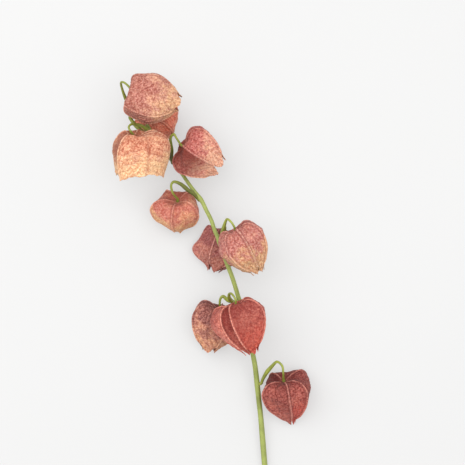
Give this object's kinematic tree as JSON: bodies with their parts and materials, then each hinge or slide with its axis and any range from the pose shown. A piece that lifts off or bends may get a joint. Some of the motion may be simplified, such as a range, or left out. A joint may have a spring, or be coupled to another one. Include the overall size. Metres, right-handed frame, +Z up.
{
  "type": "dried physalis stem",
  "caption": "Cut stem of dried physalis with papery lantern husks in dusty rose, red and straw, each hanging from a hooked green stalk, lying flat.",
  "frame": {"origin": "middle of the stem's footprint, on the table it lies on", "axes": "+Z up from the table; +Y along the stem's length from the cut end towards the tip"},
  "size_m": [0.1766, 0.3814, 0.0842],
  "materials": {
    "stem_green": "olive green young shoot, satin",
    "stalk_green": "yellow-green stalk, satin",
    "husk_01_paper": "deep red papery husk, matte",
    "husk_02_paper": "saturated orange-red papery husk, matte",
    "husk_03_paper": "rose papery husk with a straw edge, matte",
    "husk_04_paper": "dusty rose to straw papery husk, matte",
    "husk_05_paper": "dusty purple-red papery husk, matte",
    "husk_06_paper": "rose to straw papery husk, matte",
    "husk_07_paper": "dusty pink-red papery husk, matte",
    "husk_08_paper": "rose-beige papery husk with straw rim, matte",
    "husk_09_paper": "pink-red papery husk, matte",
    "husk_10_paper": "rose to orange-beige papery husk, matte"
  },
  "bodies": {
    "root": {"main_stem": "stem_green", "stalk_01": "stalk_green", "stalk_02": "stalk_green", "stalk_03": "stalk_green", "stalk_04": "stalk_green", "stalk_05": "stalk_green", "stalk_06": "stalk_green", "stalk_07": "stalk_green", "stalk_08": "stalk_green", "stalk_09": "stalk_green", "stalk_10": "stalk_green", "husk_01": "husk_01_paper", "husk_02": "husk_02_paper", "husk_03": "husk_03_paper", "husk_04": "husk_04_paper", "husk_05": "husk_05_paper", "husk_06": "husk_06_paper", "husk_07": "husk_07_paper", "husk_08": "husk_08_paper", "husk_09": "husk_09_paper", "husk_10": "husk_10_paper"}
  },
  "joints": []
}
